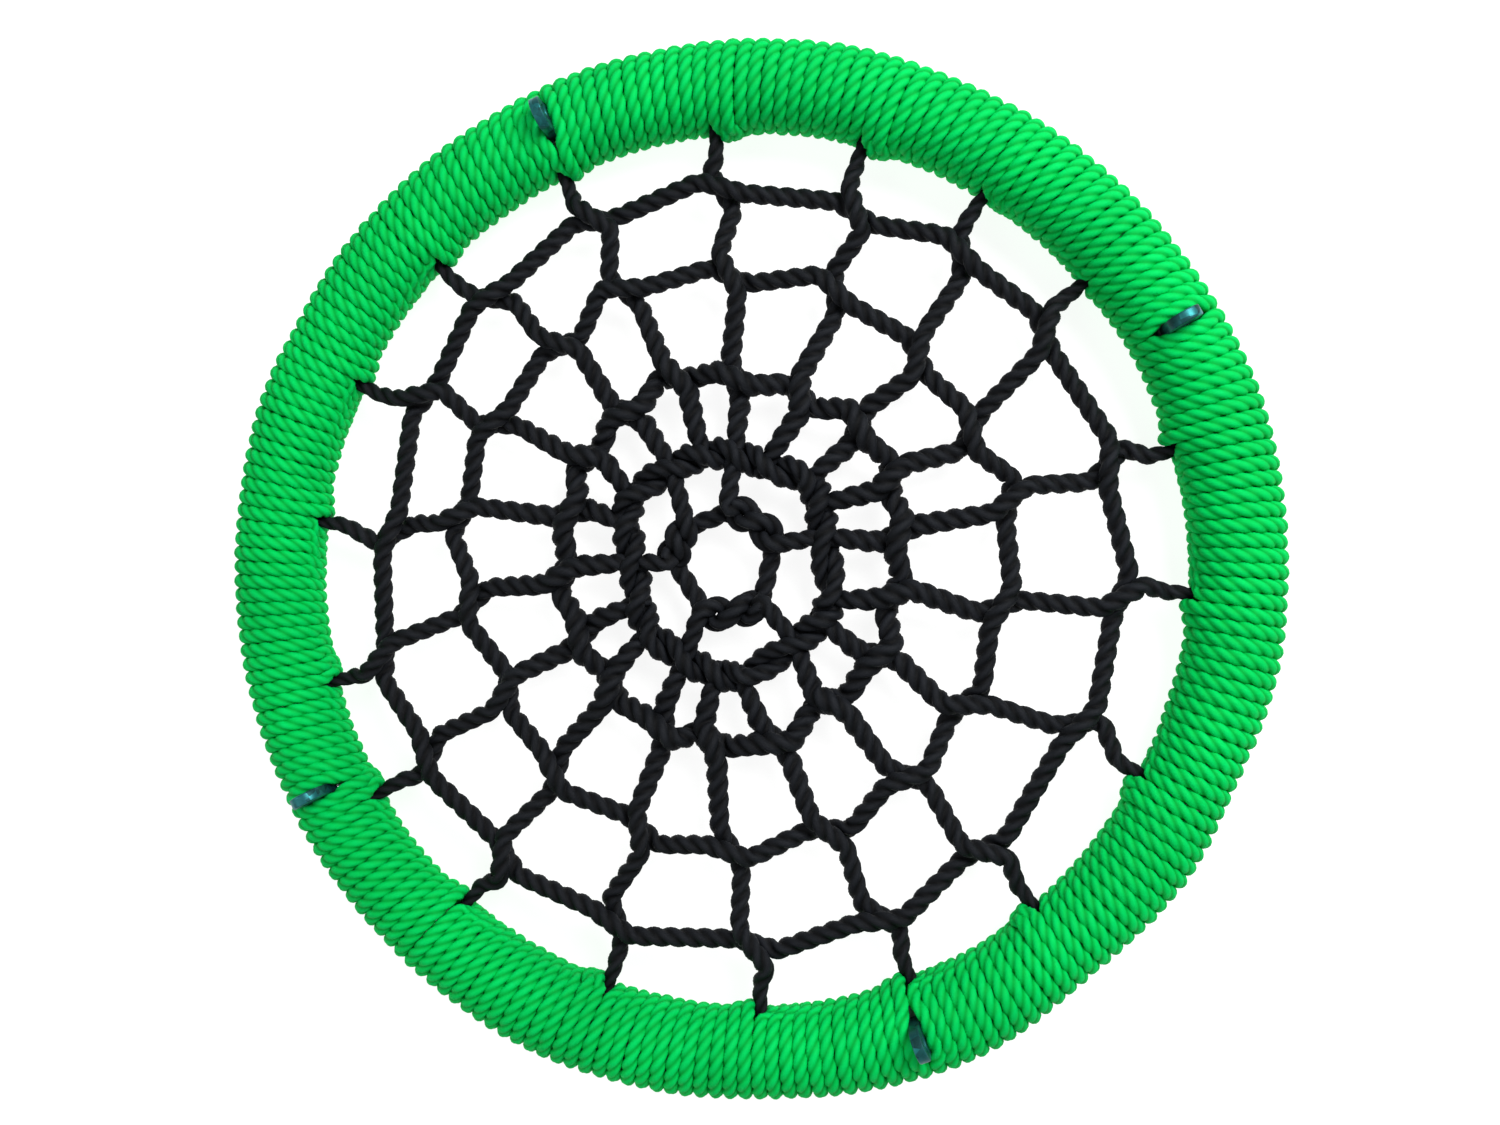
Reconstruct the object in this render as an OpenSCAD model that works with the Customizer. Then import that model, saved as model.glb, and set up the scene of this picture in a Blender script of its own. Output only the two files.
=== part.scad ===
// Round nest swing seat: a padded, rope-wrapped steel ring with four hanging
// lugs, and a knotted rope net in the shape of a spider web stretched inside it.
// The seat lies flat on z = 0 with +Z up; the origin is under its centre.

/* [Ring] */
// Overall diameter over the rope wrap
ring_d = 1000; // [860:10:1200]
// Outside diameter of the steel ring tube
tube_d = 42.4; // [38:0.1:48.3]
// Wall of the steel ring tube
tube_wall = 2.6; // [2:0.1:4]
// Thickness of the foam padding round the tube
pad_t = 10; // [9.5:0.1:14]
// Thickness of the rope wrap over the foam
wrap_t = 11.5; // [8:0.1:14]
// Length of each sleeve that joins the two half rings
sleeve_len = 80; // [50:1:120]

/* [Hanging lugs] */
// Width of a lug across the tube
lug_w = 30; // [26:0.5:44]
// Thickness of a lug along the tube
lug_t = 10; // [6:0.5:12]
// Diameter of the eye for the shackle
eye_d = 15; // [10:0.5:18]
// Height of the eye's centre above the top of the wrap
eye_rise = 9.5; // [9:0.5:16]
// Angle of the first lug
lug_turn = 28.4; // [27:0.1:30]
// Angle between the first and the second lug
lug_spread = 84; // [82:0.5:84.5]

/* [Net] */
// Diameter of the net rope
rope_d = 16; // [12:0.1:17]
// Clearance between ropes where they cross
rope_gap = 0.4; // [0.3:0.05:0.8]
// How far the middle of the net hangs below the middle of the ring
net_sag = 6; // [0:0.5:9]
// Radius of the hub ring to the middle of its rope
hub_r = 50; // [48:0.5:54]

/* [Hidden] */
$fn = 64;

seat = 0.3;                              // room left between seated parts
tube_r = tube_d / 2;
pad_r = tube_r + pad_t;                  // outside of the foam
wrap_ri = pad_r + seat;                  // inside of the wrap
sec_r = wrap_ri + wrap_t;                // outside of the wrapped section
ring_r = ring_d / 2 - sec_r;             // to the middle of the tube
rim_r = ring_r - sec_r;                  // inner edge of the wrapped ring
zc = sec_r;                              // height of the ring's middle
rope_r = rope_d / 2;
over = rope_d + rope_gap;               // rope to rope where they cross
hub_c = [-10, 6] * rim_r / 414;          // middle of the hub ring
deg_mm = 180 / (PI * ring_r);            // degrees for each mm along the tube

// Angles of the four lugs, in two opposite pairs
lugs = [lug_turn, lug_turn + lug_spread, lug_turn + 180, lug_turn + 180 + lug_spread];
bead_r = 1.9;

// Tie: the end of a spoke rope, pressed flat where it goes round the tube
tie_t = (pad_t - seat - 0.5) / 2;        // half its thickness
tie_w = rope_r * 1.25;                   // half its width
tie_r = (tube_r + seat + tie_t) / cos(11.25);
// A tie keeps this far, in degrees, from the middle of a lug
tie_clear = (lug_t / 2 + 2 * bead_r + 0.9 + tie_w) * deg_mm;

// Net, clockwise from the top. Each row is one spoke: where it enters the rim,
// then its knot [angle, radius] on rings 1, 2, 3 and 4, and the angle at which
// it is hooked to the hub ring, or -1 where it ends on ring 4. The radii are
// for a seat of 1000 mm.
spokes = [
  [92.5,  [92, 362],  [91, 281],  [90, 181],  [90, 111],  85],
  [73,    [71, 355],  [70, 279],  [69, 176],  [74, 102],  -1],
  [56,    [54, 362],  [49, 264],  [49, 179],  [50, 112],  -1],
  [39,    [37, 362],  [30, 256],  [30, 170],  [37, 101],  -1],
  [15,    [15.5, 358], [14, 265], [12, 159],  [20, 90],   20],
  [357,   [356, 358], [352, 251], [351, 152], [343, 97],  -1],
  [333.5, [336, 349], [330, 250], [329, 159], [330, 96],  -1],
  [312,   [312, 349], [310, 253], [306, 154], [310, 92], 315],
  [293.5, [293, 354], [290, 262], [283, 168], [274, 104], -1],
  [273.5, [273, 357], [269, 267], [262, 165], [260, 102], -1],
  [253,   [251, 357], [250, 267], [245, 168], [241, 100], 244],
  [231,   [231, 360], [228, 263], [223, 166], [216, 105], -1],
  [212,   [211, 354], [208, 255], [203, 164], [199, 99],  -1],
  [195.5, [194, 362], [187, 262], [182, 170], [176, 99],  173],
  [173.5, [174, 342], [169, 278], [161, 169], [158, 114], -1],
  [154,   [151, 353], [149, 276], [143, 181], [145, 125], -1],
  [134.5, [132, 357], [128, 277], [125, 183], [122, 115], 137],
  [113.7, [112, 365], [112, 290], [107, 193], [106, 114], -1]
];
n_spokes = len(spokes);

// ---- functions ----
function unit(v) = v / norm(v);
function turn(a) = a - 360 * floor(a / 360);
// Signed difference of two angles, from -180 to 180
function apart(a, b) = turn(a - b + 180) - 180;
function sag(r) = net_sag * (1 - pow(min(r, rim_r) / rim_r, 2));
// A point of the net at angle a and radius r, dz above the net's own surface
function at(a, r, dz) = [r * cos(a), r * sin(a), zc + dz - sag(r)];
function knot(i, k) = let(p = spokes[turn(i * 360 / n_spokes) * n_spokes / 360][k])
  [p[0], p[1] * rim_r / 414];
// Angle at which spoke i is tied: beside a lug it moves clear of it
function tie_angle(i) = let(a = spokes[i][0],
    near = [for (l = lugs) if (abs(apart(a, l)) < tie_clear) l])
  len(near) == 0 ? a : near[0] + sign(apart(a, near[0])) * tie_clear;

// ---- rope as a swept tube with eight sides ----
// pts: route, ref: sideways direction or one for each point,
// half: half width and half thickness for each point, loop: closed on itself
module rope(pts, ref, half, loop = false) {
  n = len(pts);
  m = 8;
  dir = [for (i = [0 : n - 1])
    let(a = loop ? pts[(i + n - 1) % n] : pts[max(i - 1, 0)],
        b = loop ? pts[(i + 1) % n] : pts[min(i + 1, n - 1)])
    unit(unit(b - pts[i] + (b == pts[i] ? b - a : [0, 0, 0]))
       + unit(pts[i] - a + (a == pts[i] ? b - a : [0, 0, 0])))];
  verts = [for (i = [0 : n - 1])
    let(up = unit(cross(dir[i], ref)), side = cross(up, dir[i]))
    for (j = [0 : m - 1])
      pts[i] + side * (half[i][0] * cos(j * 360 / m)) + up * (half[i][1] * sin(j * 360 / m))];
  skin = [for (i = [0 : loop ? n - 1 : n - 2]) for (j = [0 : m - 1])
    let(a = i * m + j, b = i * m + (j + 1) % m,
        c = ((i + 1) % n) * m + (j + 1) % m, d = ((i + 1) % n) * m + j)
    each [[a, c, b], [a, d, c]]];
  ends = loop ? [] : [[for (j = [0 : m - 1]) j], [for (j = [m - 1 : -1 : 0]) (n - 1) * m + j]];
  polyhedron(points = verts, faces = concat(skin, ends), convexity = 10);
}

// ---- steel ring ----
// An arc of pipe that follows the ring, between two angles
module ring_pipe(r_out, r_in, a0, a1) {
  translate([0, 0, zc]) rotate([0, 0, a0]) rotate_extrude(angle = a1 - a0, $fn = 180)
    translate([ring_r, 0]) difference() {
      circle(r_out);
      circle(r_in);
    }
}

// The two half rings meet on this line, clear of all lugs
joint_a = 160;
butt = seat / 2 * deg_mm;

module ring_tube(i) {
  color("silver")
    ring_pipe(tube_r, tube_r - tube_wall, joint_a + 180 * i + butt, joint_a + 180 * (i + 1) - butt);
}

module tube_sleeve(i) {
  half = sleeve_len / 2 * deg_mm;
  color("gray")
    ring_pipe(tube_r - tube_wall - seat, tube_r - tube_wall - seat - 3,
              joint_a + 180 * i - half, joint_a + 180 * i + half);
}

// ---- hanging lugs ----
// Local frame of a lug: x outwards, z up from the middle of the tube
module at_lug(i) {
  rotate([0, 0, lugs[i]]) translate([ring_r, 0, zc]) children();
}

eye_z = sec_r + eye_rise;
foot_z = tube_r * 0.8;

module hanging_lug(i) {
  color("slategray") at_lug(i) rotate([90, 0, 0])
    translate([0, 0, -lug_t / 2]) linear_extrude(lug_t) difference() {
      union() {
        translate([-lug_w / 2, foot_z]) square([lug_w, eye_z - foot_z]);
        translate([0, eye_z]) circle(lug_w / 2);
      }
      translate([0, eye_z]) circle(eye_d / 2);
      circle(tube_r + seat);
    }
}

// A fillet of weld along each side of every lug's foot
module lug_weld_beads() {
  color("dimgray") for (i = [0 : 3], s = [-1, 1])
    at_lug(i) translate([0, s * (lug_t / 2 + seat + bead_r), 0]) rotate([90, 0, 0])
      rotate([0, 0, 55]) rotate_extrude(angle = 70)
        translate([tube_r + seat + bead_r, 0]) circle(bead_r, $fn = 24);
}

// ---- foam padding ----
// Angles at which the foam of quarter i starts and stops, in turn
pad_end = (lug_t / 2 + 2 * bead_r + 0.9) * deg_mm;
tie_half = (tie_w + 1.6) * deg_mm;
quarter_span = [lug_spread, 180 - lug_spread, lug_spread, 180 - lug_spread];

function in_quarter(i) = [for (k = [n_spokes - 1 : -1 : 0])
  if (turn(spokes[k][0] - lugs[i]) < quarter_span[i]) k];
// Spokes of quarter i in the order of their angles, from its first lug on
function rank(i) = let(ks = in_quarter(i)) [for (step = [0 : len(ks) - 1])
  [for (k = ks) if (len([for (o = ks)
    if (turn(spokes[o][0] - lugs[i]) < turn(spokes[k][0] - lugs[i])) 1]) == step) k][0]];
function pad_edges(i) = concat([lugs[i] + pad_end],
  [for (k = rank(i)) let(a = lugs[i] + turn(spokes[k][0] - lugs[i]),
      t = lugs[i] + turn(tie_angle(k) - lugs[i]))
    each [min(a, t) - tie_half, max(a, t) + tie_half]],
  [lugs[i] + quarter_span[i] - pad_end]);

module foam_pad(i) {
  edges = pad_edges(i);
  color("dimgray") for (j = [0 : 2 : len(edges) - 2])
    if (edges[j + 1] - edges[j] > 1)
      ring_pipe(pad_r, tube_r + seat, edges[j], edges[j + 1]);
}

// ---- rope wrap ----
module rope_wrap(i) {
  color([0, 0.7, 0.3]) difference() {
    ring_pipe(sec_r, wrap_ri, lugs[i] + butt, lugs[i] + quarter_span[i] - butt);
    // room for the lugs at both ends
    for (j = [i, (i + 1) % 4])
      at_lug(j) translate([-lug_w / 2 - 1, -lug_t / 2 - 1, foot_z - 1])
        cube([lug_w + 2, lug_t + 2, sec_r]);
    // holes where the spoke ropes go in
    for (k = in_quarter(i))
      translate([0, 0, zc + over / 2]) rotate([0, 90, spokes[k][0]])
        translate([0, 0, rim_r - 20]) cylinder(r = rope_r + 2, h = sec_r, $fn = 48);
  }
}

// ---- spoke ropes ----
// Hook round a ring rope at angle a, radius r from the point c: over the top,
// down its inner side, under it and up outside
hook_turns = [30 : 30 : 240];
function hook(c, a, r) = [for (t = hook_turns)
  let(h = over / cos(15), q = [c[0] + (r - h * sin(t)) * cos(a), c[1] + (r - h * sin(t)) * sin(a)])
  [q[0], q[1], zc - over / 2 + h * cos(t) - sag(norm(c + r * [cos(a), sin(a)]))]];

// Tie of spoke i round the tube, from its end to where it leaves the rim
tie_turns = [-142.5 : 22.5 : 142.5];
function tie(i) = concat(
  [for (t = tie_turns) let(a = tie_angle(i), r = ring_r + tie_r * cos(t))
    [r * cos(a), r * sin(a), zc + tie_r * sin(t)]],
  [let(a = spokes[i][0] + apart(tie_angle(i), spokes[i][0]) / 4, r = rim_r + wrap_t + 6.1)
    [r * cos(a), r * sin(a), zc + over / 2 + 3]],
  [at(spokes[i][0], rim_r + wrap_t, over / 2), at(spokes[i][0], rim_r - 6, over / 2)]);

module spoke_rope(i) {
  s = spokes[i];
  ends_inside = s[5] >= 0;
  k4 = knot(i, 4);
  route = concat(tie(i),
    [for (k = [1 : 4]) at(knot(i, k)[0], knot(i, k)[1], over / 2)],
    ends_inside
      ? concat([let(p = hub_c + hub_r * [cos(s[5]), sin(s[5])])
                [p[0], p[1], zc + over / 2 - sag(norm(p))]], hook(hub_c, s[5], hub_r))
      : hook([0, 0], k4[0], k4[1]));
  n_tie = len([for (t = tie_turns) t]);
  halves = [for (j = [0 : len(route) - 1])
    j < n_tie - 1 ? [tie_w, tie_t] : j == n_tie - 1 ? [tie_w, tie_t * 0.8]
    : j == n_tie ? [rope_r * 1.12, rope_r * 0.72] : [rope_r, rope_r]];
  color([0.11, 0.11, 0.14]) rope(route, [-sin(s[0]), cos(s[0]), 0], halves);
}

// ---- net rings ----
// Ring k goes through the knots of all spokes, below them
function ring_route(k) = [for (i = [0 : n_spokes - 1])
  let(p = knot(i, k), off = 8.5 / p[1] * 180 / PI)
  each [at(p[0] + off, p[1], -over / 2), at(p[0] - off, p[1], -over / 2)]];

module net_ring(k) {
  route = ring_route(k);
  color([0.11, 0.11, 0.14])
    rope(route, [0, 0, 1], [for (p = route) [rope_r, rope_r]], loop = true);
}

module hub_ring() {
  route = [for (a = [345 : -15 : 0])
    let(p = hub_c + hub_r / cos(7.5) * [cos(a), sin(a)]) [p[0], p[1], zc - over / 2 - sag(norm(p))]];
  color([0.11, 0.11, 0.14])
    rope(route, [0, 0, 1], [for (p = route) [rope_r, rope_r]], loop = true);
}

ring_tube(0);  // ring_tube_a
ring_tube(1);  // ring_tube_b
tube_sleeve(0);  // tube_sleeve_a
tube_sleeve(1);  // tube_sleeve_b
hanging_lug(0);  // hanging_lug_1
hanging_lug(1);  // hanging_lug_2
hanging_lug(2);  // hanging_lug_3
hanging_lug(3);  // hanging_lug_4
lug_weld_beads();
foam_pad(0);  // foam_pad_1
foam_pad(1);  // foam_pad_2
foam_pad(2);  // foam_pad_3
foam_pad(3);  // foam_pad_4
rope_wrap(0);  // rope_wrap_1
rope_wrap(1);  // rope_wrap_2
rope_wrap(2);  // rope_wrap_3
rope_wrap(3);  // rope_wrap_4
spoke_rope(0);  // spoke_rope_01
spoke_rope(1);  // spoke_rope_02
spoke_rope(2);  // spoke_rope_03
spoke_rope(3);  // spoke_rope_04
spoke_rope(4);  // spoke_rope_05
spoke_rope(5);  // spoke_rope_06
spoke_rope(6);  // spoke_rope_07
spoke_rope(7);  // spoke_rope_08
spoke_rope(8);  // spoke_rope_09
spoke_rope(9);  // spoke_rope_10
spoke_rope(10);  // spoke_rope_11
spoke_rope(11);  // spoke_rope_12
spoke_rope(12);  // spoke_rope_13
spoke_rope(13);  // spoke_rope_14
spoke_rope(14);  // spoke_rope_15
spoke_rope(15);  // spoke_rope_16
spoke_rope(16);  // spoke_rope_17
spoke_rope(17);  // spoke_rope_18
net_ring(1);  // net_ring_1
net_ring(2);  // net_ring_2
net_ring(3);  // net_ring_3
net_ring(4);  // net_ring_4
hub_ring();
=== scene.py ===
"""Looks of the round nest swing seat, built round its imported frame.

The rim is a steel ring in foam, wound in green three-strand rope. The seat is a
web of black three-strand rope. Every rope is laid along its own route here.
"""
import math
import random

import bmesh
import bpy
import numpy as np
from mathutils import Matrix, Vector


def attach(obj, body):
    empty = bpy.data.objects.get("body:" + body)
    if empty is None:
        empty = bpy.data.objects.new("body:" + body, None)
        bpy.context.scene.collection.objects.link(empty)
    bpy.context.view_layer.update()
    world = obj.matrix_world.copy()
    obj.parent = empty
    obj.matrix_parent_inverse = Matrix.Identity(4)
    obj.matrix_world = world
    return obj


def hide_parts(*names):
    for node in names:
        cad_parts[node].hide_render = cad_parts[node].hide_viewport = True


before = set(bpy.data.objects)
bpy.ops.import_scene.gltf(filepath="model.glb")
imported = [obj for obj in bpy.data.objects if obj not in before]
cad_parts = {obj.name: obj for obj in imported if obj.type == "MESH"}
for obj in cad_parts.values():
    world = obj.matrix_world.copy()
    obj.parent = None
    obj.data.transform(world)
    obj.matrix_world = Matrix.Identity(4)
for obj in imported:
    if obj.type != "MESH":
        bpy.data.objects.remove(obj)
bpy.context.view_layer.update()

MM = 0.001
UP = np.array([0.0, 0.0, 1.0])

# ---------------------------------------------------------------- the seat's sizes
# The same sizes as the frame's, in metres and degrees.
TUBE_R = 21.2 * MM
FOAM_R = 31.2 * MM
RIM_SECTION = 43 * MM                    # radius of the wound rim's section
RING_R = 457 * MM                        # from the seat's middle to the tube's
RIM_R = RING_R - RIM_SECTION
MID_Z = RIM_SECTION                      # height of the ring's middle
LUGS = (28.4, 112.4, 208.4, 292.4)
SPANS = (84.0, 96.0, 84.0, 96.0)         # from each lug to the next
LUG_T = 10 * MM
SAG = 6 * MM
HUB = np.array([-10.0, 6.0, 0.0]) * MM
HUB_R = 49.5 * MM
NET_ROPE_R = 9.6 * MM                    # to the crown of a strand
NET_LAY = 48 * MM

# The web, clockwise from the top. Each row is one spoke: where it leaves the rim,
# its knots [angle, radius in mm] on rings 1 to 4, and where it meets the hub ring.
SPOKES = (
    (92.5, (92, 362), (91, 281), (90, 181), (90, 111), 86),
    (73, (71, 355), (70, 279), (69, 176), (74, 102), None),
    (56, (54, 362), (49, 264), (49, 179), (50, 112), None),
    (39, (37, 362), (30, 256), (30, 170), (37, 101), None),
    (15, (15.5, 358), (14, 265), (12, 159), (20, 90), 20),
    (357, (356, 358), (352, 251), (351, 152), (343, 97), None),
    (333.5, (336, 349), (330, 250), (329, 159), (330, 96), None),
    (312, (312, 349), (310, 253), (306, 154), (310, 92), 315),
    (293.5, (293, 354), (290, 262), (283, 168), (274, 104), None),
    (273.5, (273, 357), (269, 267), (262, 165), (260, 102), None),
    (253, (251, 357), (250, 267), (245, 168), (241, 100), 244),
    (231, (231, 360), (228, 263), (223, 166), (216, 105), None),
    (212, (211, 354), (208, 255), (203, 164), (199, 99), None),
    (195.5, (194, 362), (187, 262), (182, 170), (176, 99), 180),
    (173.5, (174, 342), (169, 278), (161, 169), (158, 114), None),
    (154, (151, 353), (149, 276), (143, 181), (145, 125), None),
    (134.5, (132, 357), (128, 277), (125, 183), (122, 115), 135),
    (113.7, (112, 365), (112, 290), (107, 193), (106, 114), None),
)


# ---------------------------------------------------------------- small helpers
def unit(v):
    return v / np.linalg.norm(v)


def spin_dir(angle):
    """Outward direction of the ring at an angle in degrees."""
    a = math.radians(angle)
    return np.array([math.cos(a), math.sin(a), 0.0])


def apart(a, b):
    """Signed difference of two angles, from -180 to 180 degrees."""
    return (a - b + 180) % 360 - 180


def fade(x, full, none):
    """1 up to full, 0 from none on, and a smooth fall between them."""
    t = min(max((none - x) / (none - full), 0.0), 1.0)
    return t * t * (3 - 2 * t)


def sag(r):
    """How far the web hangs below the ring's middle, at a distance from its own."""
    return SAG * (1 - min(r / RIM_R, 1.0) ** 2)


def web_point(angle, radius):
    """Point of the web's own surface."""
    return radius * spin_dir(angle) + UP * (MID_Z - sag(radius))


def as_piece(bm, mesh, finish):
    """Ends the work on a mesh and puts it in the scene as one smooth piece."""
    bm.to_mesh(mesh)
    bm.free()
    mesh.shade_smooth()
    mesh.materials.clear()
    mesh.materials.append(finish)
    piece = bpy.data.objects.new(mesh.name, mesh)
    bpy.context.scene.collection.objects.link(piece)
    return piece


def round_edges(bm, sharper, width, segments):
    """Rounds the edges where the surface turns by more than an angle in radians."""
    rims = [e for e in bm.edges if len(e.link_faces) == 2 and e.calc_face_angle(0) > sharper]
    bmesh.ops.bevel(bm, geom=rims, offset=width, offset_type="OFFSET", segments=segments,
                    profile=0.5, affect="EDGES", material=-1)


def fit(piece, slot, *nodes):
    """Puts a finished piece on the seat in place of its frame nodes."""
    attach(piece, "root")
    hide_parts(*nodes)


# ---------------------------------------------------------------- rope
def spaced(route, step, closed=False):
    """The route's points again, at even steps along it. Column 3 is the girth."""
    pts = np.asarray(route, float)
    if closed:
        pts = np.vstack([pts, pts[:1]])
    along = np.concatenate([[0], np.cumsum(np.linalg.norm(np.diff(pts[:, :3], axis=0), axis=1))])
    keep = np.concatenate([[True], np.diff(along) > 1e-9])
    pts, along = pts[keep], along[keep]
    count = max(int(round(along[-1] / step)), 4)
    at = np.linspace(0, along[-1], count + 1)
    made = np.stack([np.interp(at, along, pts[:, c]) for c in range(pts.shape[1])], axis=1)
    return made[:-1] if closed else made


def eased(route, passes, closed=False):
    """Rounds a route's corners by averaging neighbours; open ends stay."""
    pts = route.copy()
    for _ in range(passes):
        if closed:
            pts = (np.roll(pts, 1, 0) + 2 * pts + np.roll(pts, -1, 0)) / 4
        else:
            pts[1:-1] = (pts[:-2] + 2 * pts[1:-1] + pts[2:]) / 4
    return pts


STRAND_SIDES = 6                         # sides of each of the three strands
STRAND_SPREAD = 0.42                     # from the rope's middle to a strand's, as a share
BLUNT_START, BLUNT_GIRTH = 0.35, 0.3     # an end's first step, and its thickness there


def strand_shape(radius, spread):
    """Section of a three-strand rope: three round lobes that meet in grooves.

    spread is how far the lobes' middles lie from the rope's own, as a share of its
    radius. The third value of each point runs from 0 in a groove to 1 on a crown.
    """
    def lobe(a):
        return spread * math.cos(a) + math.sqrt((1 - spread) ** 2 - (spread * math.sin(a)) ** 2)

    shape = []
    groove = lobe(math.radians(60))
    for k in range(3 * STRAND_SIDES):
        strand, step = divmod(k, STRAND_SIDES)
        a = math.radians(-60 + 120 / STRAND_SIDES * step)
        r, turn = lobe(a), math.radians(120 * strand) + a
        shape.append((r * radius * math.cos(turn), r * radius * math.sin(turn),
                      (r - groove) / (1 - groove)))
    return shape


def blunt(route, radius):
    """Rounds both ends of an open rope, as heat-sealed ends are."""
    route = route.copy()
    step = np.linalg.norm(route[1, :3] - route[0, :3])
    for k in range(int(radius / step) + 1):
        x = max(1 - (k + BLUNT_START) * step / radius, 0)
        girth = max(math.sqrt(1 - x * x), BLUNT_GIRTH)
        route[k, 3] *= girth
        route[-1 - k, 3] *= girth
    return route


def section_curve(name, shape):
    """A rope's section as a closed flat curve."""
    outline = bpy.data.curves.new(name + "_section", "CURVE")
    outline.dimensions = "2D"
    spline = outline.splines.new("POLY")
    spline.points.add(len(shape) - 1)
    for point, (x, y, _) in zip(spline.points, shape):
        point.co = (x, y, 0, 1)
    spline.use_cyclic_u = True
    return bpy.data.objects.new(outline.name, outline)


def lay_rope(name, routes, radius, lay, finish, closed=False, phases=(0.0,),
             spread=STRAND_SPREAD):
    """Lays one three-strand rope along each route and returns them as one piece.

    A phase is how far a rope's strands are turned where its route starts. The mesh
    keeps two attributes for the finish: crown, 0 in a groove and 1 on a strand's
    top, and fibre, the place in the rope as if its route were straight.
    """
    shape = strand_shape(radius, spread)
    section = section_curve(name, shape)
    curve = bpy.data.curves.new(name + "_route", "CURVE")
    curve.dimensions = "3D"
    curve.bevel_mode = "OBJECT"
    curve.bevel_object = section
    curve.twist_mode = "MINIMUM"
    lobes, flow = [], []
    for route, phase in zip(routes, phases):
        if not closed:
            route = blunt(route, radius)
        pts = route[:, :3]
        step = np.linalg.norm(np.diff(pts, axis=0), axis=1)
        along = np.concatenate([[0], np.cumsum(step)])
        length = along[-1] + (np.linalg.norm(pts[0] - pts[-1]) if closed else 0)
        turns = round(length / lay) if closed else length / lay
        tilts = phase + 2 * math.pi * turns * along / length
        spline = curve.splines.new("POLY")
        spline.points.add(len(pts) - 1)
        spline.points.foreach_set("co", np.column_stack([pts, np.ones(len(pts))]).ravel())
        spline.points.foreach_set("tilt", tilts)
        spline.points.foreach_set("radius", route[:, 3].copy())
        spline.use_cyclic_u = closed
        corner = -2 * math.pi / len(shape) * np.arange(len(shape))
        angle = tilts[:, None] + corner[None, :]
        lobes.append(np.tile([s[2] for s in shape], len(pts)))
        flow.append(np.stack([radius * np.cos(angle), radius * np.sin(angle),
                              np.repeat(along[:, None], len(shape), 1)], axis=2).reshape(-1, 3))
    laid = bpy.data.objects.new(name + "_route", curve)
    for helper in (section, laid):
        bpy.context.scene.collection.objects.link(helper)
    bpy.context.view_layer.update()
    graph = bpy.context.evaluated_depsgraph_get()
    mesh = bpy.data.meshes.new_from_object(laid.evaluated_get(graph))
    mesh.name = name
    crown = mesh.attributes.new("crown", "FLOAT", "POINT")
    crown.data.foreach_set("value", np.concatenate(lobes))
    fibre = mesh.attributes.new("fibre", "FLOAT_VECTOR", "POINT")
    fibre.data.foreach_set("vector", np.concatenate(flow).ravel())
    bm = bmesh.new()
    bm.from_mesh(mesh)
    if not closed:
        bmesh.ops.holes_fill(bm, edges=[e for e in bm.edges if e.is_boundary], sides=0)
    bmesh.ops.recalc_face_normals(bm, faces=bm.faces)
    piece = as_piece(bm, mesh, finish)
    for helper in (laid, section):
        helper_curve = helper.data
        bpy.data.objects.remove(helper)
        bpy.data.curves.remove(helper_curve)
    return piece


# ---------------------------------------------------------------- finishes
class Signal:
    """A value inside a finish. Arithmetic on it adds the Math nodes."""

    def __init__(self, finish, socket):
        self.finish, self.socket = finish, socket

    def math(self, operation, *values):
        inputs = dict(enumerate(values))
        return self.finish.node("ShaderNodeMath", {"operation": operation}, inputs)

    def __add__(self, other):
        return self.math("ADD", self, other)

    def __sub__(self, other):
        return self.math("SUBTRACT", self, other)

    def __rsub__(self, other):
        return self.math("SUBTRACT", other, self)

    def __mul__(self, other):
        return self.math("MULTIPLY", self, other)

    __radd__, __rmul__ = __add__, __mul__


class Finish:
    """One material: a Principled shader and the nodes that feed it."""

    def __init__(self, name, **fixed):
        self.material = bpy.data.materials.new(name)
        self.material.use_nodes = True
        self.tree = self.material.node_tree
        self.shader = self.tree.nodes["Principled BSDF"]
        for socket, value in fixed.items():
            self.shader.inputs[socket.replace("_", " ")].default_value = value

    def node(self, kind, settings=None, inputs=None, output=0):
        """Adds a node with its settings, then its sockets' values or links."""
        made = self.tree.nodes.new(kind)
        for key, value in (settings or {}).items():
            setattr(made, key, value)
        for key, value in (inputs or {}).items():
            if isinstance(value, Signal):
                self.tree.links.new(value.socket, made.inputs[key])
            else:
                made.inputs[key].default_value = value
        return Signal(self, made.outputs[output])

    def feed(self, **signals):
        for socket, signal in signals.items():
            self.tree.links.new(signal.socket, self.shader.inputs[socket.replace("_", " ")])

    def place(self):
        """The piece's own coordinates."""
        return self.node("ShaderNodeTexCoord", output="Object")

    def attribute(self, name, output="Fac"):
        return self.node("ShaderNodeAttribute", {"attribute_name": name}, output=output)

    def stretched(self, vector, scale):
        return self.node("ShaderNodeVectorMath", {"operation": "MULTIPLY"}, {0: vector, 1: scale})

    def noise(self, vector, scale, detail, roughness):
        return self.node("ShaderNodeTexNoise", {}, {
            "Vector": vector, "Scale": scale, "Detail": detail, "Roughness": roughness})

    def spread(self, value, low, high, to_low=0.0, to_high=1.0):
        """The value with low to high stretched over to_low to to_high, and held there."""
        return self.node("ShaderNodeMapRange", {"clamp": True}, {
            "Value": value, "From Min": low, "From Max": high,
            "To Min": to_low, "To Max": to_high})

    def blend(self, share, first, second):
        return self.node("ShaderNodeMix", {"data_type": "RGBA"},
                         {0: share, 6: first, 7: second}, output=2)

    def bump(self, height, strength, distance):
        return self.node("ShaderNodeBump", {}, {
            "Height": height, "Strength": strength, "Distance": distance})


def rgb(r, g, b):
    return (r, g, b, 1.0)


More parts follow.
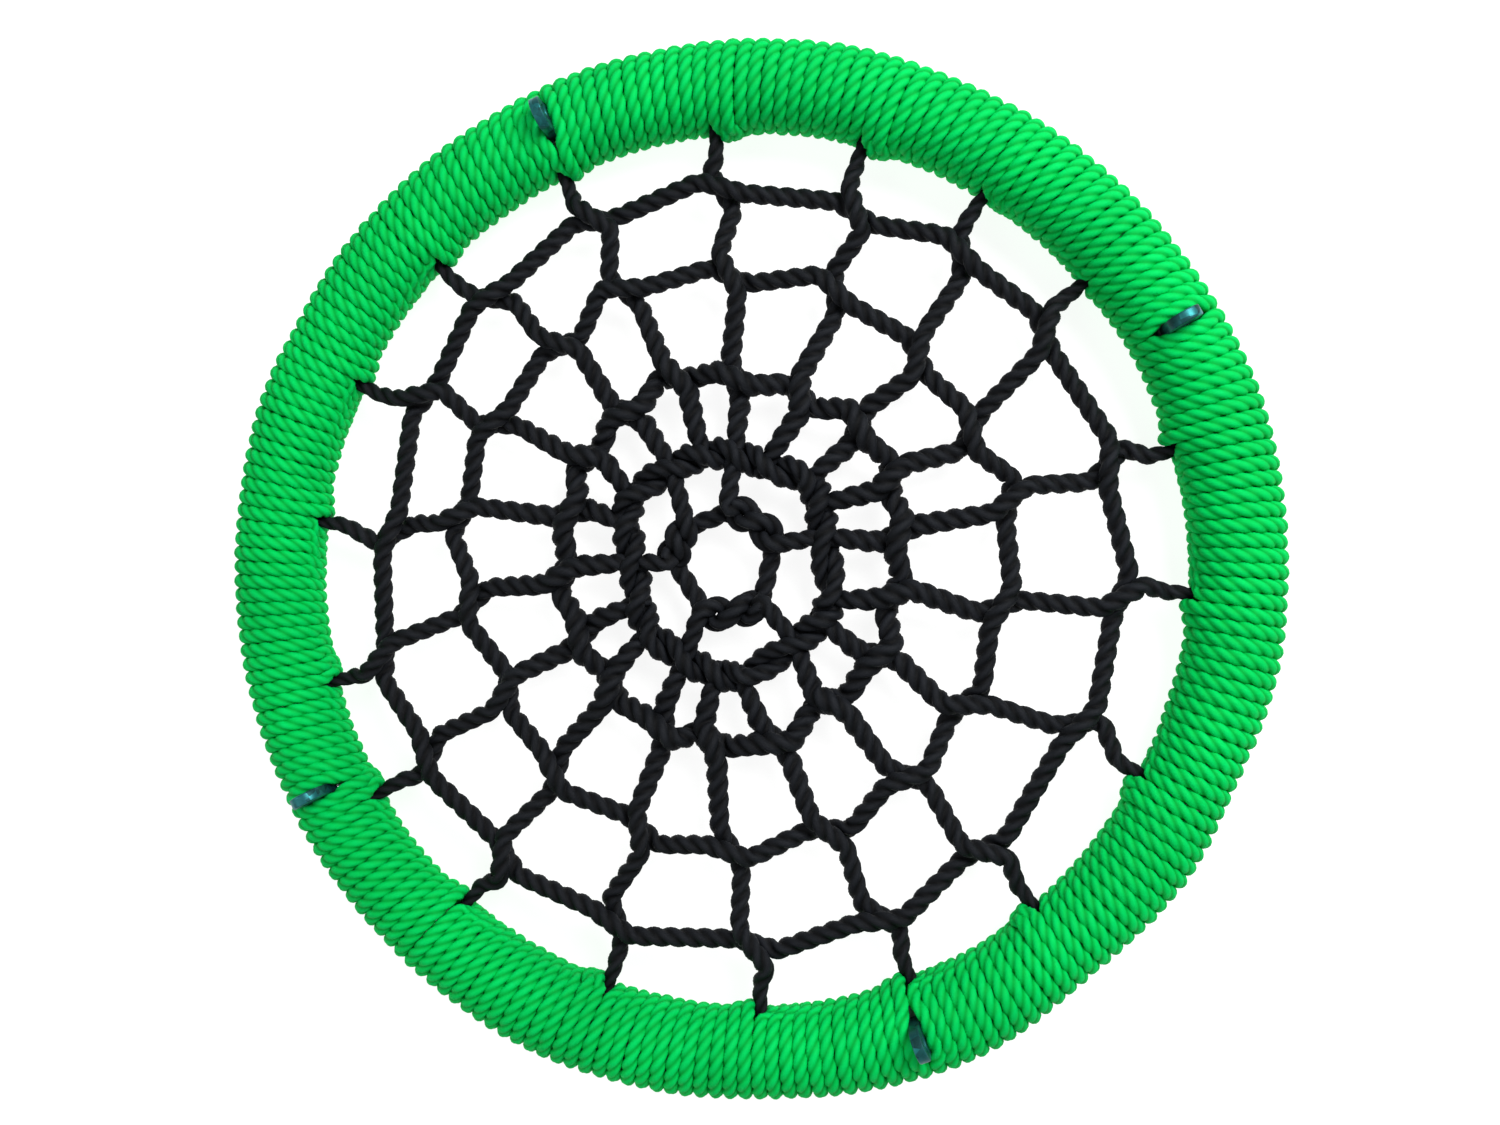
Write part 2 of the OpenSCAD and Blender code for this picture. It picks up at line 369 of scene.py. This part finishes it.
def rope_finish(name, groove, body, crown, gloss, rough):
    """Laid rope: fibres that run along it, painted shade in the grooves, and crowns lightened by a
    painted highlight and by random wear.
    """
    f = Finish(name, Specular_IOR_Level=gloss)
    fibre = f.attribute("fibre", "Vector")
    height = f.attribute("crown")
    yarns = f.noise(f.stretched(fibre, (1.0, 1.0, 0.10)), 1500.0, 2.0, 0.6)
    hairs = f.noise(f.stretched(fibre, (1.0, 1.0, 0.06)), 4200.0, 2.0, 0.65)
    patches = f.noise(f.place(), 9.0, 3.0, 0.5)
    worn = f.noise(f.place(), 55.0, 3.0, 0.55)
    # Painted shade: the grooves are darkened towards the groove colour.
    groove_shade = f.spread(height + (yarns - 0.5) * 0.35, 0.05, 0.75)
    colour = f.blend(groove_shade, groove, body)
    # Painted highlight: the strands' crowns are lightened towards the crown colour, broken up by
    # random wear.
    crown_highlight_and_wear = f.spread(height * 0.55 + yarns * 0.5 + (worn - 0.5) * 0.5, 0.62, 1.05)
    colour = f.blend(crown_highlight_and_wear, colour, crown)
    shade = f.spread(patches, 0.3, 0.7, 0.88, 1.08)
    tone = f.node("ShaderNodeVectorMath", {"operation": "SCALE"}, {0: colour, "Scale": shade})
    f.feed(Base_Color=tone, Roughness=f.spread(hairs, 0.3, 0.7, rough - 0.08, rough + 0.12))
    f.feed(Normal=f.bump(yarns * 0.7 + hairs * 0.45, 0.55, 0.0007))
    return f.material


def steel_finish(name, dark, light, grain, rough, metal=1.0):
    """Galvanised steel: mottled zinc with dull patches and fine scratches."""
    f = Finish(name)
    at = f.place()
    flakes = f.node("ShaderNodeTexVoronoi", {"feature": "F1"}, {
        "Vector": at, "Scale": grain, "Randomness": 1.0}, output="Color")
    spangle = f.node("ShaderNodeSeparateColor", {}, {"Color": flakes})
    cloud = f.noise(at, grain * 0.25, 4.0, 0.6)
    dust = f.noise(at, grain * 6, 3.0, 0.6)
    mix = f.spread(spangle * 0.45 + cloud * 0.6 + dust * 0.2, 0.35, 0.85)
    f.feed(Base_Color=f.blend(mix, dark, light),
           Metallic=f.spread(cloud, 0.2, 0.8, metal, metal * 0.85),
           Roughness=f.spread(mix + (dust - 0.5) * 0.3, 0.0, 1.0, rough + 0.14, rough - 0.08))
    f.feed(Normal=f.bump(dust * 0.5 + cloud, 0.25, 0.0005))
    return f.material


def foam_finish():
    """Closed-cell foam: dark grey, matt, with fine cells."""
    f = Finish("closed_cell_foam", Specular_IOR_Level=0.3)
    at = f.place()
    cells = f.node("ShaderNodeTexVoronoi", {"feature": "F1"}, {"Vector": at, "Scale": 900.0})
    cloud = f.noise(at, 14.0, 3.0, 0.5)
    mix = f.spread(cells * 0.6 + cloud * 0.5, 0.2, 0.9)
    f.feed(Base_Color=f.blend(mix, rgb(0.016, 0.016, 0.018), rgb(0.05, 0.05, 0.054)),
           Roughness=f.spread(cloud, 0.3, 0.7, 0.85, 0.95),
           Normal=f.bump(cells, 0.4, 0.0006))
    return f.material


# Each rope's colours, in turn: painted shade for the grooves, the rope's own body colour, and a
# painted highlight for the crowns that also stands for wear.
GREEN_ROPE = rope_finish("green_rope_wrap", rgb(0.0, 0.36, 0.045), rgb(0.0, 0.57, 0.090),
                         rgb(0.0, 0.69, 0.145), 0.05, 0.55)
BLACK_ROPE = rope_finish("black_net_rope", rgb(0.0014, 0.0016, 0.0022), rgb(0.0050, 0.0060, 0.0082),
                         rgb(0.0145, 0.0165, 0.0215), 0.13, 0.62)
# The lugs' dark teal and light cyan are a painted reflection of the sky on their zinc, mixed at
# random over them.
LUG_STEEL = steel_finish("lug_zinc_painted_sky_reflection", rgb(0.006, 0.045, 0.045), rgb(0.02, 0.20, 0.21),
                         140.0, 0.46, 0.8)
TUBE_STEEL = steel_finish("galvanised_tube", rgb(0.42, 0.44, 0.46), rgb(0.70, 0.72, 0.74),
                          90.0, 0.38)
WELD = steel_finish("weld_bead_under_zinc", rgb(0.20, 0.20, 0.21), rgb(0.45, 0.46, 0.47),
                    220.0, 0.5)
FOAM = foam_finish()

# ---------------------------------------------------------------- green wrap
WRAP_PATH_R = 36.7 * MM                  # from the tube's middle to the rope's
WRAP_ROPE_R = 7.3 * MM
WRAP_SPREAD = 0.34                       # its strands are pressed nearly flat
WRAP_LAY = 42 * MM
WRAP_TURNS = (51, 59, 51, 59)
TURN_POINTS = 76
SPOKE_EXIT = 182.0                       # where on the section the spokes come out
EXIT_LIFT = RIM_SECTION * math.sin(math.radians(SPOKE_EXIT))
# Places where the winding stands in (or out) on the ring's outside: angle, mm, spread
DENTS = ((312, -7, 9), (336, -6, 8), (275, -4, 10), (200, -3, 24), (64, -3, 14), (248, 2, 12),
         (15, 2, 8), (150, -2, 7))
# How far the turns beside a lug move aside, and how soon that dies out along the ring
LUG_SHIFT, LUG_REACH = 6 * MM, 35 * MM
LUG_WINDOW = (24, 50)                    # parted fully and not at all, degrees from the top
SPOKE_ROOM = 11.3 * MM                   # from a spoke's middle to the turns beside it
SPOKE_REACH = 4                          # in turns
SPOKE_WINDOW = (9, 24)                   # degrees from the spoke's exit
LUMP_AFTER = 14 * MM                     # lumps sit this far past a spoke's root
LUMP_WIDTH = 11 * MM
HIGH_LUMP, LOW_LUMP = 8.5 * MM, 2 * MM
LUMPS_LOW, LUMP_TURNED = (2, 3), 4       # spokes with a low lump, and with it on the other side
LUMP_AT, LUMP_SPREAD = 172, 42           # on the section, in degrees
REST_FLAT, REST_SPAN = 1.4 * MM, (20, 60)     # pressed flat where the seat lies on the floor
STAND, SLIP = 0.35 * MM, 0.5 * MM        # how unevenly each turn lies, out and sideways
WAVE_HEIGHT, WAVE_EVEN = 0.9 * MM, 0.12  # the winding's own unevenness, less in short waves
WAVE_HELD = (40, 80)                     # it dies out below the ring, in degrees round it
WRAP_FULLER = 0.06                       # the rope is fuller on the ring's outside
shaky = random.Random(11)
WAVES = [(k, shaky.uniform(0, 360), shaky.uniform(0, 360)) for k in (3, 5, 8, 13, 21)]


def lump_of(i):
    """Angle and height of the lump in the wrap beside spoke i."""
    after = math.degrees(LUMP_AFTER / RIM_R)
    side = 1 if i == LUMP_TURNED else -1
    return SPOKES[i][0] + side * after, LOW_LUMP if i in LUMPS_LOW else HIGH_LUMP


LUMPS = [lump_of(i) for i in range(len(SPOKES))]


def wave(theta, phi):
    """How far the wrap stands in or out at a place, as it was wound by hand."""
    outer = math.cos(math.radians(phi)) * 0.5 + 0.5
    value = 0.0
    for k, a, b in WAVES:
        value += (math.cos(math.radians(k * theta + a)) * outer
                  + math.cos(math.radians(k * theta + b)) * (1 - outer)) / (1 + WAVE_EVEN * k)
    value += outer * sum(h * math.exp(-(apart(theta, a) / w) ** 2) for a, h, w in DENTS)
    below = max(-phi, 0) if phi < 90 else phi - 180
    return WAVE_HEIGHT * value * fade(below, *WAVE_HELD)


TUBE_ARC = math.radians(1) * RING_R      # length of one degree, on the tube's middle
RIM_ARC = math.radians(1) * (RING_R - WRAP_PATH_R)      # and on the wrap's inner side


def moved_aside(turn, start, span, pitch):
    """How far a turn moves aside for the lugs and for the spokes, both in degrees."""
    top = (turn + 0.5) * pitch
    aside = LUG_SHIFT * math.exp(-top * TUBE_ARC / LUG_REACH)
    aside -= LUG_SHIFT * math.exp(-(span - top) * TUBE_ARC / LUG_REACH)
    exits = []
    for root in [(spoke[0] - start) % 360 for spoke in SPOKES]:
        if root < span:
            place = turn + (SPOKE_EXIT + 90) / 360 - root / pitch     # in turns from the root
            room = SPOKE_ROOM / (pitch * RIM_ARC)                     # also in turns
            whole = math.floor(place)
            if place >= 0:
                exits.append((room - place + whole) * math.exp(-whole / SPOKE_REACH))
            else:
                exits.append((1 - place + whole - room) * math.exp((whole + 1) / SPOKE_REACH))
    return math.degrees(aside / RING_R), sum(exits) * pitch


def wrap_route(quarter):
    """One quarter's winding, from below its first lug to below the next."""
    start, span, turns = LUGS[quarter], SPANS[quarter], WRAP_TURNS[quarter]
    pitch = span / turns
    jitter = random.Random(40 + quarter)
    tops = [jitter.uniform(-1, 1) for _ in range(4 * turns + 2)]
    slips = [jitter.uniform(-1, 1) for _ in range(4 * turns + 2)]
    asides = [moved_aside(turn, start, span, pitch) for turn in range(turns + 1)]
    points = []
    for j in range(turns * TURN_POINTS + 1):
        t = j / TURN_POINTS
        phi = (360 * t) % 360 - 90
        theta = start + pitch * t
        for_lugs, for_spokes = asides[int(t)]
        quarter_turn, part = divmod(4 * t, 1)
        part = part * part * (3 - 2 * part)
        k = int(quarter_turn)
        stand = tops[k] * (1 - part) + tops[k + 1] * part
        slip = slips[k] * (1 - part) + slips[k + 1] * part
        off_end = fade(min(j, turns * TURN_POINTS - j), TURN_POINTS, 0)
        theta += for_lugs * fade(abs(phi - 90), *LUG_WINDOW)
        theta += for_spokes * fade(abs(phi - SPOKE_EXIT), *SPOKE_WINDOW)
        theta += math.degrees(SLIP * slip / RING_R) * off_end
        lump = sum(h * math.exp(-(apart(theta, a) * RIM_ARC / LUMP_WIDTH) ** 2) for a, h in LUMPS)
        lump *= math.exp(-((phi - LUMP_AT) / LUMP_SPREAD) ** 2) if phi > 60 else 0.0
        r = WRAP_PATH_R - REST_FLAT * fade(abs(apart(phi, -90)), *REST_SPAN)
        r += wave(theta, phi) + lump + STAND * stand * off_end
        out = spin_dir(theta)
        a = math.radians(phi)
        centre = (RING_R + r * math.cos(a)) * out + UP * (MID_Z + r * math.sin(a))
        points.append([*centre, 1.0 + WRAP_FULLER * math.cos(a)])
    return np.array(points)


for quarter in range(4):
    winding = lay_rope(f"wound_rope_{quarter + 1}", [wrap_route(quarter)], WRAP_ROPE_R, WRAP_LAY,
                       GREEN_ROPE, spread=WRAP_SPREAD)
    fit(winding, "green_rope", f"rope_wrap_{quarter + 1}")

# ---------------------------------------------------------------- the web
STEP = 2.6 * MM
TWIST_HALF = {1: 20 * MM, 2: 19 * MM, 3: 16 * MM}     # half a crossing's length, by ring
TWIST_R = 9.2 * MM                       # from the crossing's middle line to each rope's
TWIST_START = 40                         # degrees above or below the web as they come in
KNOT_GIRTH = 1.12                        # the ropes open a little there
LEAN = {1: 1.25, 2: 1.0, 3: 1.0}          # how far it leans along the ring, by ring
CROSSING_STEPS = 8
EASE = 4                                 # passes that round a route's corners


def knot_axis(i, k):
    """Middle of the crossing of spoke i and ring k, and the way both ropes run in it.

    That way lies between the spoke's own, inward, and the ring's.
    """
    def middle(i, k):
        angle, radius = SPOKES[i % len(SPOKES)][k]
        return web_point(angle, radius * MM)

    before = middle(i, k - 1) if k > 1 else web_point(SPOKES[i][0], RIM_R)
    inward = unit(middle(i, min(k + 1, 4)) - before)
    onward = unit(middle(i + 1, k) - middle(i - 1, k))
    axis = inward + LEAN[k] * onward
    axis[2] = 0
    return middle(i, k), unit(axis)


def crossing(i, k, rope):
    """Points of one rope through the crossing of spoke i and ring k.

    The two ropes come in half beside and half over each other, change sides and
    part. At every second crossing it is the spoke that goes over.
    """
    middle, axis = knot_axis(i, k)
    side = np.cross(axis, UP) * (1 if rope == "ring" else -1)
    over = 1 if ((i + k) % 2 == 0) == (rope == "spoke") else -1
    made = []
    for j in range(CROSSING_STEPS + 1):
        t = j / CROSSING_STEPS
        a = math.radians(TWIST_START + (180 - 2 * TWIST_START) * t)
        made.append([*(middle + axis * TWIST_HALF[k] * (2 * t - 1)
                       + TWIST_R * (side * math.cos(a) + UP * over * math.sin(a))), KNOT_GIRTH])
    return made


TIE_R = 26.2 * MM                        # from the tube's middle to the rope tied round it
TIE_START, TIE_TURN, TIE_STEPS = -150, 6, 53     # its first place and step, in degrees
TIE_SLIDE = 6 * MM                       # how far it goes along the tube in all
TIE_GIRTH = 0.52
TIE_FROM_LUG = 2.6                       # degrees it keeps from a lug's middle
# The way out to the net: mm inward from the rim's inside, mm up, girth
WAY_OUT = ((-12, 1, 0.54), (-1, 0, 0.74), (9, -1, 0.92), (20, -1, 0.98))


def tie_route(i):
    """The end of spoke i, wound once round the tube between two pieces of foam."""
    root = SPOKES[i][0]
    near = [lug for lug in LUGS if abs(apart(root, lug)) < TIE_FROM_LUG]
    tied = near[0] + math.copysign(TIE_FROM_LUG, apart(root, near[0])) if near else root
    made = []
    for j in range(TIE_STEPS):
        slide = (j / (TIE_STEPS - 1) - 0.5) * TIE_SLIDE / RING_R
        out = spin_dir(tied + math.degrees(slide))
        a = math.radians(TIE_START + TIE_TURN * j)
        made.append([*((RING_R + TIE_R * math.cos(a)) * out + UP * (MID_Z + TIE_R * math.sin(a))),
                     TIE_GIRTH])
    out = spin_dir(root)
    for inward, rise, girth in WAY_OUT:
        made.append([*(out * (RIM_R - inward * MM) + UP * (MID_Z + EXIT_LIFT + rise * MM)), girth])
    return made


RING_4_RISE, RING_4_SIDE = 10 * MM, 8 * MM    # from ring 4's middle line to its two ropes
RING_4_GIRTH = 0.93
RING_4_STEPS = 14                        # from one spoke to the next
RING_4_EASE = 10


def core_of_ring_4():
    """Middle line of ring 4 and, along it, how many half turns its two ropes have made."""
    rows = []
    for i in range(len(SPOKES) + 1):
        angle, radius = SPOKES[i % len(SPOKES)][4]
        rows.append([*web_point(angle, radius * MM), i])
    knots = np.array(rows)
    made = []
    for a, b in zip(knots[:-1], knots[1:]):
        made += [a + (b - a) * j / RING_4_STEPS for j in range(RING_4_STEPS)]
    made = np.array(made)
    half_turns = made[:, 3].copy()
    made = eased(made, RING_4_EASE, closed=True)
    made[:, 3] = half_turns
    return made


def ring_4_routes():
    """The two ropes of ring 4, half a turn round each other from spoke to spoke."""
    core = core_of_ring_4()
    routes = []
    for rope in (0, 1):
        made = []
        for j in range(len(core)):
            ahead, behind = core[(j + 1) % len(core)], core[j - 1]
            along = unit((ahead - behind)[:3])
            side = unit(np.cross(along, UP))
            a = math.pi * (core[j][3] + rope)
            beside = RING_4_RISE * math.cos(a) * UP + RING_4_SIDE * math.sin(a) * side
            made.append([*(core[j][:3] + beside), RING_4_GIRTH])
        routes.append(spaced(eased(np.array(made), 2, True), STEP, True))
    return routes


# The hub ring's three doubled stretches, each between two spokes
HUB_PAIRS = ((86, 20), (315, 244), (180, 135))
HUB_TWIST_R = 8.2 * MM                   # from their middle line to each of the two ropes
HUB_GIRTH = 0.92
HUB_STEP = 2.5                           # degrees
HUB_MEET = 0.97                          # a spoke's end stops just short of the other's
# How a spoke passes ring 4: mm along it, mm up, girth
TO_RING_4, ON_RING_4 = (-24, 4, 0.98), (0, 0, 0.80)
END_AT_RING_4, TO_HUB = (13, -2, 0.80), (16, 2, 0.88)


def hub_point(angle, a):
    """Point beside the hub ring's core at an angle; a is the turn about that core."""
    out = spin_dir(angle)
    core = HUB + HUB_R * out
    level = MID_Z - sag(np.linalg.norm(core))
    return core + UP * level + HUB_TWIST_R * (math.cos(a) * UP + math.sin(a) * out)


def hub_route():
    """The hub ring: single between the doubled stretches, twisted in them."""
    made = []
    for start, stop in HUB_PAIRS:
        width = (start - stop) % 360
        count = int(width / HUB_STEP)
        for j in range(count + 1):
            t = j / count
            a = 2 * math.pi * (0.5 + t)
            made.append([*hub_point(start - width * t, a), HUB_GIRTH])
    return spaced(eased(spaced(made, STEP, True), EASE, True), STEP, True)


def hub_end(i):
    """The end of spoke i that winds along half of its doubled stretch of the hub ring."""
    angle = SPOKES[i][5]
    start, stop = next(pair for pair in HUB_PAIRS if angle in pair)
    width = (start - stop) % 360
    way = -1 if angle == start else 1
    count = int(width / 2 / HUB_STEP)
    made = []
    for j in range(count + 1):
        t = j / count * 0.5
        place = angle + way * width * t * HUB_MEET
        made.append([*hub_point(place, -way * 2 * math.pi * t), HUB_GIRTH])
    return made


def spoke_route(i):
    """Spoke i, from its tie through rings 1 to 3 to ring 4 or on to the hub ring."""
    made = tie_route(i)
    for k in (1, 2, 3):
        made += crossing(i, k, "spoke")
    angle, radius = SPOKES[i][4]
    cross = web_point(angle, radius * MM)

    def past(way, along, rise, girth):
        return [*(cross + way * along * MM + UP * rise * MM), girth]

    coming = unit(cross - np.array(made[-1][:3]))
    made += [past(coming, *TO_RING_4), past(coming, *ON_RING_4)]
    if SPOKES[i][5] is None:
        made.append(past(coming, *END_AT_RING_4))
    else:
        last = hub_end(i)
        made += [past(unit(np.array(last[0][:3]) - cross), *TO_HUB)] + last
    route = spaced(made, STEP)
    tie = int(TIE_STEPS * math.radians(TIE_TURN) * TIE_R / STEP) - 2
    eased_route = eased(route, EASE)
    eased_route[:tie] = eased(route, 1)[:tie]
    return spaced(eased_route, STEP)


def ring_route(k):
    """Ring k, through its crossings with all spokes."""
    made = []
    for i in range(len(SPOKES)):
        made += crossing(i, k, "ring")
    return spaced(eased(spaced(made, STEP, True), EASE, True), STEP, True)


NET_THIN, NET_GAIN = 0.88, 0.21          # its girth near the rim, and what it gains inward
NET_THICK_TO, NET_THIN_FROM = 130 * MM, 290 * MM      # from the seat's middle
GIRTH_EASE = 12


def eased_girth(route, closed=False):
    """Makes the rope's thickness change slowly along it, and grow towards the middle.

    The rope is pulled thin near the rim and lies loose and thick round the hub.
    """
    for point in route:
        inner = fade(math.hypot(point[0], point[1]), NET_THICK_TO, NET_THIN_FROM)
        point[3] *= NET_THIN + NET_GAIN * inner
    route[:, 3] = eased(route[:, 3:4], GIRTH_EASE, closed)[:, 0]
    return route


for i in range(len(SPOKES)):
    spoke = lay_rope(f"spoke_{i + 1:02d}", [eased_girth(spoke_route(i))], NET_ROPE_R, NET_LAY,
                     BLACK_ROPE, phases=[0.7 * i])
    fit(spoke, "black_rope", f"spoke_rope_{i + 1:02d}")
for k in (1, 2, 3):
    ring = lay_rope(f"web_ring_{k}", [eased_girth(ring_route(k), True)], NET_ROPE_R, NET_LAY,
                    BLACK_ROPE, closed=True, phases=[0.4 * k])
    fit(ring, "black_rope", f"net_ring_{k}")
ring = lay_rope("web_ring_4", ring_4_routes(), NET_ROPE_R, NET_LAY, BLACK_ROPE, closed=True,
                phases=[0.0, 1.3])
fit(ring, "black_rope", "net_ring_4")
ring = lay_rope("web_hub", [eased_girth(hub_route(), True)], NET_ROPE_R, NET_LAY, BLACK_ROPE,
                closed=True)
fit(ring, "black_rope", "hub_ring")

# ---------------------------------------------------------------- foam
FOAM_BORE = TUBE_R + 0.4 * MM
FOAM_SIDES = 40
FOAM_STEP = 5 * MM                       # along the ring
LUG_SIDE = LUG_T / 2 + 4.7 * MM          # from a lug's middle to the foam beside it
TIE_SIDE = 10 * MM                       # from a tie's middle to the tie's own side
FOAM_GAP = 1.6 * MM                      # from there to the foam


def foam_edges(quarter):
    """Angles at which the foam of a quarter starts and stops, in turn."""
    start, span = LUGS[quarter], SPANS[quarter]
    deg = math.degrees(1 / RING_R)
    lug_end = LUG_SIDE * deg
    clear = (LUG_SIDE + TIE_SIDE) * deg
    beside = (TIE_SIDE + FOAM_GAP) * deg
    roots = sorted((s[0] - start) % 360 for s in SPOKES if (s[0] - start) % 360 < span)
    edges = [lug_end]
    for root in roots:
        tied = root
        for lug in (0.0, span):
            if abs(root - lug) < clear:
                tied = lug + math.copysign(clear, root - lug)
        edges += [min(root, tied) - beside, max(root, tied) + beside]
    edges.append(span - lug_end)
    return [start + e for e in edges]


def foam_sleeve(bm, first, last):
    """One length of foam tube round the ring, between two angles."""
    at = Matrix.Translation((RING_R, 0, MID_Z)) @ Matrix.Rotation(math.pi / 2, 4, "X")
    outer, inner = (bmesh.ops.create_circle(bm, segments=FOAM_SIDES, radius=r, matrix=at)["verts"]
                    for r in (FOAM_R, FOAM_BORE))
    loops = list({e for v in outer + inner for e in v.link_edges})
    wall = bmesh.ops.bridge_loops(bm, edges=loops)["faces"]
    bmesh.ops.rotate(bm, verts=outer + inner, matrix=Matrix.Rotation(math.radians(first), 3, "Z"))
    steps = max(int(round(math.radians(last - first) * RING_R / FOAM_STEP)), 2)
    geom = list(wall) + loops + outer + inner
    bmesh.ops.spin(bm, geom=geom, cent=(0, 0, 0), axis=(0, 0, 1), dvec=(0, 0, 0),
                   angle=math.radians(last - first), steps=steps, use_duplicate=False)


for quarter in range(4):
    bm = bmesh.new()
    edges = foam_edges(quarter)
    for first, last in zip(edges[::2], edges[1::2]):
        if last - first > 1:
            foam_sleeve(bm, first, last)
    bmesh.ops.remove_doubles(bm, verts=bm.verts, dist=0.01 * MM)
    bmesh.ops.recalc_face_normals(bm, faces=bm.faces)
    round_edges(bm, 1.2, 1.4 * MM, 2)
    foam = as_piece(bm, bpy.data.meshes.new(f"foam_lengths_{quarter + 1}"), FOAM)
    fit(foam, "foam", f"foam_pad_{quarter + 1}")

# ---------------------------------------------------------------- steel
for i in range(4):
    node = f"hanging_lug_{i + 1}"
    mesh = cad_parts[node].data.copy()
    mesh.name = f"lug_{i + 1}"
    bm = bmesh.new()
    bm.from_mesh(mesh)
    bmesh.ops.remove_doubles(bm, verts=bm.verts, dist=0.005 * MM)
    bmesh.ops.dissolve_limit(bm, angle_limit=math.radians(1), verts=bm.verts, edges=bm.edges)
    round_edges(bm, 1.0, 1.3 * MM, 3)
    fit(as_piece(bm, mesh, LUG_STEEL), "lug_steel", node)

CARRIED = {"ring_tube_a": TUBE_STEEL, "ring_tube_b": TUBE_STEEL, "tube_sleeve_a": TUBE_STEEL,
           "tube_sleeve_b": TUBE_STEEL, "lug_weld_beads": WELD}
for node, finish in CARRIED.items():
    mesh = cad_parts[node].data
    mesh.materials.clear()
    mesh.materials.append(finish)

# ---------------------------------------------------------------- stage, light, camera
bm = bmesh.new()
bmesh.ops.create_grid(bm, x_segments=1, y_segments=1, size=30)
paper = Finish("floor_paper", Base_Color=rgb(0.30, 0.30, 0.30), Roughness=0.9,
               Specular_IOR_Level=0.1, Emission_Color=rgb(1, 1, 1), Emission_Strength=0.88)
floor = as_piece(bm, bpy.data.meshes.new("studio_floor"), paper.material)
floor.location = (0, 0, -0.5 * MM)

world = bpy.data.worlds.new("studio")
bpy.context.scene.world = world
world.use_nodes = True
world.node_tree.nodes["Background"].inputs["Color"].default_value = rgb(1, 1, 1)
world.node_tree.nodes["Background"].inputs["Strength"].default_value = 0.40


def soft_light(name, place, aim, size, watts):
    """A round soft lamp at a place, turned to its aim."""
    lamp = bpy.data.lights.new(name, "AREA")
    lamp.shape, lamp.size, lamp.energy = "DISK", size, watts
    holder = bpy.data.objects.new(name, lamp)
    holder.location = place
    holder.rotation_euler = (Vector(aim) - Vector(place)).to_track_quat("-Z", "Y").to_euler()
    bpy.context.scene.collection.objects.link(holder)


soft_light("key", (1.25, 1.2, 1.9), (0, 0, 0), 1.5, 66)
soft_light("fill", (-1.8, -1.0, 2.4), (0, 0, 0), 2.2, 20)

scene = bpy.context.scene
scene.view_settings.view_transform = "Standard"
camera = bpy.data.objects.new("camera", bpy.data.cameras.new("camera"))
scene.collection.objects.link(camera)
camera.data.sensor_width = 36
camera.data.lens = 30.45
camera.data.clip_start = 0.05
spot, aim = Vector((0.1767, -0.0019, 1.2328)), Vector((0.0152, 0.0063, 0.043))
camera.location = spot
back = (spot - aim).normalized()
right = Vector((0, 1, 0)).cross(back).normalized()
camera.rotation_euler = Matrix((right, back.cross(right), back)).transposed().to_euler()
scene.camera = camera
